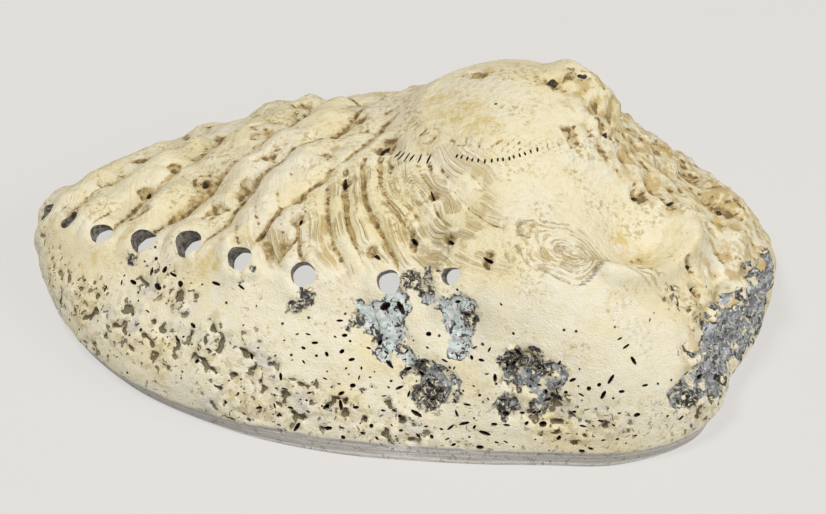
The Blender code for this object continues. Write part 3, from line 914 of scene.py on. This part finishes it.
def hole_cutter():
    """The breathing holes: slightly uneven round bars that stand square to the shell."""
    mesh_builder = bmesh.new()
    for x, y, radius in HOLES:
        angle, reach = find_on_surface(x, y)
        centre = base_surface(angle, reach)[0][0]
        normal = base_normals(angle, reach)[0]
        turn = Vector(normal.tolist()).to_track_quat("Z", "Y").to_matrix().to_4x4()
        middle = Vector((centre - normal * 1.5 + TO_ORIGIN).tolist()) * MM
        bar = bmesh.ops.create_cone(
            mesh_builder,
            cap_ends=True,
            segments=HOLE_SIDES,
            radius1=radius * 0.95 * MM,
            radius2=radius * 1.12 * MM,
            depth=HOLE_BAR * MM,
        )
        for vertex in bar["verts"]:
            heading = math.atan2(vertex.co.y, vertex.co.x)
            uneven = noise.noise(Vector((math.cos(heading), math.sin(heading), 0.3 * x)))
            vertex.co.x *= 1 + HOLE_UNEVENNESS * uneven
            vertex.co.y *= 1 + HOLE_UNEVENNESS * uneven
            vertex.co = Matrix.Translation(middle) @ turn @ vertex.co
    return cutter_object("holes", mesh_builder, shaded_hole_wall_material())


def new_object(name, data):
    result = bpy.data.objects.new(name, data)
    bpy.context.scene.collection.objects.link(result)
    return result


def cutter_object(name, mesh_builder, material):
    mesh = bpy.data.meshes.new(name)
    mesh_builder.to_mesh(mesh)
    mesh_builder.free()
    mesh.materials.append(material)
    return new_object(name, mesh)


def cut(shell, cutters):
    """Cut the shell and take the cutters' materials over onto the new faces."""
    for cutter in cutters:
        modifier = shell.modifiers.new(cutter.name, "BOOLEAN")
        modifier.operation = "DIFFERENCE"
        modifier.solver = "EXACT"
        modifier.material_mode = "TRANSFER"
        modifier.object = cutter
    bpy.context.view_layer.update()
    graph = bpy.context.evaluated_depsgraph_get()
    mesh = bpy.data.meshes.new_from_object(shell.evaluated_get(graph))
    shell.modifiers.clear()
    shell.data = mesh
    for cutter in cutters:
        bpy.data.objects.remove(cutter)


# Marks that the materials read from the mesh


def neighbour_mean(values, edges, counts, rounds):
    for _ in range(rounds):
        total = np.empty_like(values)
        for axis in range(3):
            ends = np.concatenate([edges[:, 0], edges[:, 1]])
            other = np.concatenate([edges[:, 1], edges[:, 0]])
            total[:, axis] = np.bincount(ends, values[other, axis], len(values))
        values = 0.5 * values + 0.5 * total / counts[:, None]
    return values


def hollowness(mesh, points):
    """How far each point lies below its surroundings, in millimetres, near and wide."""
    count = len(mesh.vertices)
    edges = np.empty(len(mesh.edges) * 2, dtype=np.int32)
    mesh.edges.foreach_get("vertices", edges)
    edges = edges.reshape(-1, 2)
    normals = np.empty(count * 3)
    mesh.vertices.foreach_get("normal", normals)
    normals = normals.reshape(-1, 3)
    counts = np.maximum(np.bincount(edges.ravel(), minlength=count), 1)
    near = neighbour_mean(points, edges, counts, 5)
    wide = neighbour_mean(near, edges, counts, 35)
    near_depth = ((near - points) * normals).sum(1)
    wide_depth = ((wide - points) * normals).sum(1)
    return near_depth, wide_depth


def write_marks(mesh, line):
    points = np.empty(len(mesh.vertices) * 3)
    mesh.vertices.foreach_get("co", points)
    points = points.reshape(-1, 3) / MM - TO_ORIGIN
    near, wide = hollowness(mesh, points)
    across, along, strength = grain_place(points)
    behind = behind_row(*plan(points), line)
    marks = {
        # Depths below the surroundings; the painted shade in the chalk's hollows and in the crust's pits is
        # read from them
        "near_hollow": near,
        "wide_hollow": wide,
        "grain_across": across,
        "grain_along": along / 24,
        "grain": strength * behind,
        "behind": behind,
        "valley": valley_share(points) * behind,
        "crust": crust_share(points, line),
        "rings": ring_share(points),
        "rough": rough_share(points, line),
        "pearly": nearness(points, PEARLY),
        "slaty": nearness(points, SLATY),
        "scab": nearness(points, SCABS),
        "gouge": gouge_nearness(points),
        "stain_and_basin_shade": nearness(points, STAINS_AND_BASIN_SHADE, 3.0, 0.4),
        "height": points[:, 2],
    }
    for name, values in marks.items():
        mark = mesh.attributes.new(name, "FLOAT", "POINT")
        mark.data.foreach_set("value", np.asarray(values, dtype=np.float32))


# Materials

CREAM = (0.79, 0.72, 0.51, 1)
PALE = (0.79, 0.74, 0.585, 1)
BUTTER = (0.74, 0.63, 0.34, 1)
OCHRE = (0.49, 0.34, 0.12, 1)
BROWN = (0.13, 0.08, 0.03, 1)
OLIVE = (0.47, 0.37, 0.17, 1)
SOOT = (0.035, 0.03, 0.028, 1)
PEAT = (0.12, 0.095, 0.06, 1)
YELLOW = (0.66, 0.50, 0.20, 1)
LIP_GREY = (0.36, 0.35, 0.34, 1)
SLATE = (0.20, 0.205, 0.21, 1)
BLUE_GREY = (0.45, 0.47, 0.475, 1)
AQUA = (0.54, 0.64, 0.61, 1)
SILVER = (0.68, 0.69, 0.68, 1)
LILAC = (0.56, 0.54, 0.54, 1)
CRUMB_GREY = (0.22, 0.21, 0.18, 1)
# Painted shade: the near-black of the breathing holes' walls
WALL_PAINTED_SHADE = (0.07, 0.06, 0.05, 1)
WALL_GREY = (0.34, 0.31, 0.26, 1)
PEARL_BLUE = (0.62, 0.70, 0.72, 1)
PEARL_GREEN = (0.60, 0.76, 0.68, 1)
PEARL_PINK = (0.78, 0.68, 0.72, 1)
PEARL_VIOLET = (0.60, 0.66, 0.80, 1)
PEARL_SILVER = (0.80, 0.82, 0.80, 1)
PEARL_STAIN = (0.55, 0.46, 0.30, 1)
# Roughness, as greys
CHALK_GLOSS = (0.78, 0.78, 0.78, 1)
PEARLY_GLOSS = (0.34, 0.34, 0.34, 1)
# Full height of the chalk's small relief, millimetres
CHALK_GRIT = 0.65


class Field:
    """A value that varies over the surface. Sums and products of fields are nodes."""

    def __init__(self, socket):
        self.socket = socket

    def calc(self, operation, other=0.0):
        return add_node(self.socket.id_data, "Math", 0, {0: self, 1: other}, operation=operation)

    def __add__(self, other):
        return self.calc("ADD", other)

    def __mul__(self, other):
        return self.calc("MULTIPLY", other)

    def __or__(self, other):
        """The larger of the two."""
        return self.calc("MAXIMUM", other)

    def from_half(self):
        """How far the value is from a half."""
        return (self + -0.5).calc("ABSOLUTE")

    def step(self, low, high):
        """0 below low and 1 above high, or the other way round."""
        inputs = {
            "Value": self,
            "From Min": min(low, high),
            "From Max": max(low, high),
            "To Min": float(low > high),
            "To Max": float(low < high),
        }
        return add_node(self.socket.id_data, "MapRange", 0, inputs, interpolation_type="SMOOTHSTEP")


def feed(socket, value):
    """Link a field to a node's input, or set the input to a plain value."""
    if isinstance(value, Field):
        socket.id_data.links.new(value.socket, socket)
    else:
        socket.default_value = value


def add_node(tree, kind, output, inputs, **settings):
    """Add a node with these settings and inputs, and give one of its outputs."""
    node = tree.nodes.new("ShaderNode" + kind)
    for name, value in settings.items():
        setattr(node, name, value)
    for socket, value in inputs.items():
        feed(node.inputs[socket], value)
    return Field(node.outputs[output])


class Paint:
    """The nodes of one material. Its textures are measured in millimetres."""

    def __init__(self, name, roughness, colour):
        self.material = bpy.data.materials.new(name)
        self.material.use_nodes = True
        self.tree = self.material.node_tree
        self.surface = self.tree.nodes["Principled BSDF"].inputs
        self.surface["Roughness"].default_value = roughness
        self.colour = colour
        place = self.node("TexCoord", "Object", {})
        self.place = self.node("VectorMath", 0, {0: place, "Scale": 1 / MM}, operation="SCALE")

    def node(self, kind, output, inputs, **settings):
        return add_node(self.tree, kind, output, inputs, **settings)

    def mark(self, name):
        return self.node("Attribute", "Fac", {}, attribute_name=name)

    def join(self, x, y, z=0.0):
        return self.node("CombineXYZ", 0, {0: x, 1: y, 2: z})

    def noise(self, size, detail=3.0, place=None, warp=0.0, shift=0.0):
        move = {0: place or self.place, 1: (shift, 1.7 * shift, 0.6 * shift)}
        moved = self.node("VectorMath", 0, move, operation="ADD")
        inputs = {"Vector": moved, "Scale": 1 / size, "Detail": detail, "Distortion": warp}
        return self.node("TexNoise", "Fac", inputs)

    def dots(self, size, radius, share):
        """Small round dots in a share of the cells."""
        inputs = {"Vector": self.place, "Scale": 1 / size}
        distance = self.node("TexVoronoi", "Distance", inputs)
        colour = self.node("TexVoronoi", "Color", inputs)
        chosen = self.node("SeparateColor", 0, {0: colour}).calc("LESS_THAN", share)
        return distance.step(radius * 1.25, radius * 0.75) * chosen

    def mix(self, share, first, second):
        return self.node("Mix", 2, {0: share, 6: first, 7: second}, data_type="RGBA")

    def over(self, share, colour):
        """Lay a colour over a share of the surface."""
        self.colour = self.mix(share, self.colour, colour)

    def finish(self, height, depth):
        """Set the colour, and a bump whose full height is depth millimetres."""
        feed(self.surface["Base Color"], self.colour)
        bump = self.node("Bump", 0, {"Distance": depth * MM, "Height": height})
        feed(self.surface["Normal"], bump)
        return self.material


def chalk_ground(paint):
    """Cream chalk with paler, more yellow and olive places, and small brown specks."""
    behind = paint.mark("behind")
    paint.over(paint.noise(16, 2).step(0.38, 0.64) | behind.step(1.2, 0.2), PALE)
    paint.over(paint.noise(18, 4, shift=40).step(0.48, 0.64) * 0.5, BUTTER)
    paint.over(paint.noise(2.2, 6, shift=70).step(0.4, 0.7) * 0.35, BUTTER)
    dusty = paint.noise(9, 5, shift=84).step(0.46, 0.62)
    worn = paint.noise(1.1, 4, shift=31).step(0.5, 0.64)
    paint.over(dusty * worn * (behind * 0.5 + 0.3), OLIVE)
    paint.over(paint.noise(0.9, 4, shift=66).step(0.61, 0.66) * dusty * 0.8, OLIVE)
    rough = paint.mark("rough") * paint.noise(3.2, 6, shift=99).step(0.46, 0.6)
    paint.over(rough * 0.75, OCHRE)


def ochre_dirt_and_painted_shade(paint, fine):
    """Ochre: dirt along the grooves of the folds and in gouges, and painted shade laid in blotches over the
    hollows.
    """
    # Painted shade: the hollows, near and wide, are darkened with ochre by how far they lie below their
    # surroundings
    near = (paint.mark("near_hollow") + fine * 0.2).step(0.04, 0.16)
    wide = (paint.mark("wide_hollow") + fine * 0.9).step(0.22, 0.75)
    blotch = paint.noise(7, 4, shift=15).step(0.4, 0.6)
    painted_hollow_shade = (wide * blotch | near) * (paint.mark("behind") * 0.5 + 0.45)
    valley = (paint.mark("valley") + fine * 2.2).step(0.35, 1.0)
    gouge = (paint.mark("gouge") + fine * 0.5).step(0.42, 0.75)
    return painted_hollow_shade | valley * 0.85 | gouge


def grain_lines(paint):
    """Thin darker lines along the growth lines."""
    across = paint.mark("grain_across")
    place = paint.join(across, paint.mark("grain_along"))
    wide = paint.noise(2.0, 3, place, 0.2).from_half().step(0.045, 0.006)
    fine = paint.noise(0.9, 2, place, 0.2, 9.0).from_half().step(0.05, 0.01)
    patchy = paint.noise(5, 5, shift=33).step(0.44, 0.56)
    fan = (wide | fine * 0.6) * paint.mark("grain") * patchy
    ring = (across + paint.noise(2.5, 4, shift=46) * 1.6).calc("FRACT").from_half()
    rings = ring.step(0.24, 0.06) * paint.noise(3, 5, shift=52).step(0.4, 0.56)
    return fan | rings * paint.mark("rings") * 0.75


def crust_marks(paint, fine):
    """Olive-brown pores, painted shade in the crust's hollows, and small dark dots of the crust and the
    front wall.
    """
    crust = paint.mark("crust")
    in_front = paint.mark("behind").step(0.6, 0.1)
    pores = paint.noise(1.3, 3, warp=0.4, shift=44).step(0.62, 0.66)
    # Painted shade: the crust's hollows are darkened by how far they lie below their surroundings
    pits = (paint.mark("near_hollow") + fine * 0.12).step(0.1, 0.22)
    low = paint.mark("height").step(26.0, 8.0) * in_front
    field = (crust | low * 0.3).step(0.1, 0.5)
    return pores * field | pits * crust, paint.dots(2.6, 0.11, 0.22) * in_front


def pearly_colour(paint):
    """Bluish pearl with curved dark lines, where the outer layer has broken away."""
    aqua = paint.noise(3.4, 4, warp=0.8, shift=17).step(0.42, 0.54)
    silver = paint.noise(2.2, 4, warp=0.8, shift=61).step(0.46, 0.56)
    colour = paint.mix(silver, paint.mix(aqua, BLUE_GREY, AQUA), SILVER)
    swirl = paint.noise(4.2, 3, warp=1.0, shift=5) * 8.0
    lines = swirl.calc("FRACT").from_half().step(0.15, 0.07)
    broken = paint.noise(2.4, 3, shift=91).step(0.46, 0.54)
    holes = paint.noise(2.4, 4, warp=1.2, shift=73).step(0.6, 0.65)
    return paint.mix(lines * broken | holes, colour, SOOT)


def slaty_colour(paint):
    """Streaked blue-grey layers with dark crevices and remains of chalk."""
    place = paint.join(paint.mark("height"), paint.mark("grain_along"))
    streaks = paint.noise(1.3, 5, place, warp=0.6, shift=25).step(0.35, 0.68)
    colour = paint.mix(streaks, SLATE, BLUE_GREY)
    colour = paint.mix(paint.noise(0.9, 4, warp=0.6, shift=55).step(0.54, 0.66), colour, SILVER)
    colour = paint.mix(paint.noise(1.3, 5, warp=1.5, shift=77).step(0.54, 0.64), colour, SOOT)
    return paint.mix(paint.noise(2.4, 5, shift=21).step(0.56, 0.63), colour, CREAM)


def scab_colour(paint):
    crumbs = paint.noise(0.9, 5, warp=1.0, shift=37)
    colour = paint.mix(crumbs.step(0.46, 0.54), SOOT, CRUMB_GREY)
    return paint.mix(crumbs.step(0.56, 0.62), colour, CREAM)


def lip_layers(paint):
    """Where the rim's worn lip is, and its thin layers."""
    height = paint.mark("height")
    ragged_height = height + paint.noise(6, 3, shift=8) * 3.0
    lip = ragged_height.step(LIP_TOP + 2.2, LIP_TOP + 0.9)
    return lip, paint.noise(0.42, 3, paint.join(0.0, paint.noise(30, 1), height * 0.55))


def paint_patches(paint, fine):
    """The broken patches with their dark edges; returns the share that is pearly."""
    pearly_mark = paint.mark("pearly")
    slaty_mark = paint.mark("slaty")
    paint.over((slaty_mark + fine * 0.5).step(0.46, 0.52), slaty_colour(paint))
    pearly = (pearly_mark + fine * 0.5).step(0.46, 0.52)
    paint.over(pearly, pearly_colour(paint))
    outline = (pearly_mark | slaty_mark) + fine * 0.5
    edge = outline.step(0.40, 0.47) * outline.step(0.55, 0.49)
    paint.over(edge * paint.noise(2.0, 3, shift=29).step(0.42, 0.54), SOOT)
    return pearly


def chalk_material():
    paint = Paint("worn_chalk", 0.78, CREAM)
    fine = paint.noise(1.5, 5, shift=3) + -0.5
    chalk_ground(paint)
    # Yellow stains; those in the spire's basin are painted shade
    stain_and_basin_shade = (paint.mark("stain_and_basin_shade") + fine * 1.2).step(0.3, 0.9)
    paint.over(stain_and_basin_shade * paint.noise(2.4, 6, shift=58).step(0.42, 0.6) * 0.8, YELLOW)
    # Ochre dirt in the valleys and gouges, and painted shade in the hollows; brown where they are
    # strongest, a darker painted shade
    dirt_and_painted_shade = ochre_dirt_and_painted_shade(paint, fine)
    paint.over(dirt_and_painted_shade * 0.8, OCHRE)
    paint.over((dirt_and_painted_shade + fine * 1.6).step(0.8, 1.15) * 0.85, BROWN)
    lines = grain_lines(paint)
    paint.over(lines * 0.75, OCHRE)
    crust = paint.mark("crust")
    paint.over(crust * paint.noise(1.8, 6, shift=12).step(0.5, 0.58) * 0.5, OLIVE)
    paint.over(crust * paint.noise(6.5, 6, shift=88).step(0.54, 0.64) * 0.6, LILAC)
    pits, dots = crust_marks(paint, fine)
    # Peat over the crust's pores, and over its hollows as painted shade
    paint.over(pits * 0.8, PEAT)
    paint.over(dots, SOOT)
    lip, layers = lip_layers(paint)
    grey = paint.mix(layers.step(0.42, 0.62), LIP_GREY, LILAC)
    paint.over(lip * 0.85, paint.mix(layers.step(0.39, 0.34), grey, PEAT))
    pearly = paint_patches(paint, fine)
    paint.over((paint.mark("scab") + fine * 0.9).step(0.42, 0.6), scab_colour(paint))
    feed(paint.surface["Roughness"], paint.mix(pearly, CHALK_GLOSS, PEARLY_GLOSS))
    relief = paint.noise(1.5, 7, shift=14) * (paint.mark("behind") * 0.65 + 0.35)
    relief = relief + paint.noise(0.4, 3, shift=19) * 0.4
    relief = relief + (pits + dots) * -1.2 + lines * -0.5 + layers * lip * 0.8
    return paint.finish(relief, CHALK_GRIT)


def pearl_material():
    """The bowl's mother of pearl: bands of pink, green and blue on silver."""
    paint = Paint("pearl", 0.24, PEARL_BLUE)
    drift = paint.noise(26, 3, warp=1.4)
    paint.over(drift.step(0.36, 0.48), PEARL_GREEN)
    paint.over(drift.step(0.5, 0.58), PEARL_PINK)
    paint.over(drift.step(0.6, 0.7), PEARL_VIOLET)
    paint.over(paint.noise(4.5, 4, warp=0.8, shift=9).step(0.45, 0.7), PEARL_SILVER)
    paint.over(paint.noise(12, 4, shift=50).step(0.58, 0.7) * 0.5, PEARL_STAIN)
    paint.surface["Coat Weight"].default_value = 0.4
    paint.surface["Coat Roughness"].default_value = 0.12
    return paint.finish(paint.noise(5, 4), 0.5)


def pit_material():
    paint = Paint("pit", 0.9, SOOT)
    crumbs = paint.noise(0.8, 4)
    paint.over(crumbs.step(0.42, 0.7), BROWN)
    return paint.finish(crumbs, 0.3)


def shaded_hole_wall_material():
    """The walls of the breathing holes: worn grey layers on a near-black base that is painted shade."""
    paint = Paint("hole_wall", 0.55, WALL_PAINTED_SHADE)
    crumbs = paint.noise(1.2, 4, warp=0.8)
    paint.over(crumbs.step(0.36, 0.64), WALL_GREY)
    return paint.finish(crumbs, 0.3)


# Floor, light and camera

FLOOR_GREY = (0.13, 0.128, 0.125, 1)
FLOOR_LIGHT = (1.0, 0.975, 0.94, 1)
FLOOR_GLOW = 0.6
FLOOR_SIZE = 8.0
# The floor lies a little below the rim, so that the two faces don't meet
FLOOR_LEVEL = -0.0002
ROOM_LIGHT = (1.0, 0.985, 0.955)
ROOM_STRENGTH = 0.22
# Lights, in metres and watts: place, size, power and colour
LIGHTS = {
    "key": ((-0.25, -0.25, 0.95), (0.3, 0.3), 6.7, ROOM_LIGHT),
    "fill": ((0.85, -0.3, 0.7), (0.8, 0.6), 6.6, (1.0, 0.99, 0.97)),
}
LIGHT_AIM = (0, 0, 0.02)


def pale_floor():
    bpy.ops.mesh.primitive_plane_add(size=FLOOR_SIZE, location=(0, 0, FLOOR_LEVEL))
    floor = bpy.context.object
    floor.name = "floor"
    material = bpy.data.materials.new("pale_floor")
    material.use_nodes = True
    surface = material.node_tree.nodes["Principled BSDF"].inputs
    surface["Base Color"].default_value = FLOOR_GREY
    surface["Roughness"].default_value = 0.9
    surface["Emission Color"].default_value = FLOOR_LIGHT
    surface["Emission Strength"].default_value = FLOOR_GLOW
    floor.data.materials.append(material)


def soft_light(name, place, size, power, colour):
    data = bpy.data.lights.new(name, "AREA")
    data.shape = "RECTANGLE"
    data.size, data.size_y = size
    data.energy = power
    data.color = colour
    light = new_object(name, data)
    light.location = place
    light.rotation_euler = (Vector(LIGHT_AIM) - Vector(place)).to_track_quat("-Z", "Y").to_euler()


def surroundings():
    world = bpy.data.worlds.new("soft room")
    world.use_nodes = True
    background = world.node_tree.nodes["Background"]
    background.inputs["Color"].default_value = (*ROOM_LIGHT, 1)
    background.inputs["Strength"].default_value = ROOM_STRENGTH
    bpy.context.scene.world = world
    bpy.context.scene.view_settings.view_transform = "Standard"
    bpy.context.scene.view_settings.look = "None"


# The camera looks from the photograph's side: angles in degrees, lengths in millimetres
CAMERA_TURN = 6.5
CAMERA_HEIGHT = 40.0
CAMERA_ROLL = 2.2
CAMERA_DISTANCE = 600.0
CAMERA_AIM = (0.0, 0.0, 18.0)
MM_PER_PIXEL = 165 / 735
IMAGE_WIDTH = 826
FRAMING_MOVE = (2.5, -18.0)
SENSOR = 36.0


def photo_camera():
    turn = math.radians(CAMERA_TURN)
    height = math.radians(CAMERA_HEIGHT)
    roll = math.radians(CAMERA_ROLL)
    back = Vector(
        (math.sin(turn) * math.cos(height), -math.cos(turn) * math.cos(height), math.sin(height))
    )
    level = Vector((math.cos(turn), math.sin(turn), 0))
    upright = back.cross(level)
    right = level * math.cos(roll) + upright * math.sin(roll)
    up = upright * math.cos(roll) - level * math.sin(roll)
    aim = Vector(CAMERA_AIM) + Vector(TO_ORIGIN)
    aim = aim - (right * FRAMING_MOVE[0] - up * FRAMING_MOVE[1]) * MM_PER_PIXEL
    data = bpy.data.cameras.new("camera")
    data.sensor_width = SENSOR
    data.lens = CAMERA_DISTANCE / MM_PER_PIXEL / IMAGE_WIDTH * SENSOR
    data.clip_start = 0.01
    camera = new_object("camera", data)
    rotation = Matrix((right, up, back)).transposed()
    camera.matrix_world = Matrix.Translation((aim + back * CAMERA_DISTANCE) * MM) @ rotation.to_4x4()
    bpy.context.scene.camera = camera


# Edges sharper than this many degrees stay sharp
SHARP_ANGLE = 55


def main():
    line = dense_line([hole[:2] for hole in HOLES] + list(KEEL_AFTER_HOLES))
    shell = new_object("abalone_shell", fine_shell(line))
    shell.data.materials.append(chalk_material())
    shell.data.materials.append(pearl_material())
    cut(shell, (hole_cutter(), slot_cutter(line)))
    write_marks(shell.data, line)
    shell.data.shade_smooth()
    shell.data.set_sharp_from_angle(angle=math.radians(SHARP_ANGLE))
    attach(shell, "root")
    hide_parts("shell")
    pale_floor()
    surroundings()
    for name, settings in LIGHTS.items():
        soft_light(name, *settings)
    photo_camera()


main()
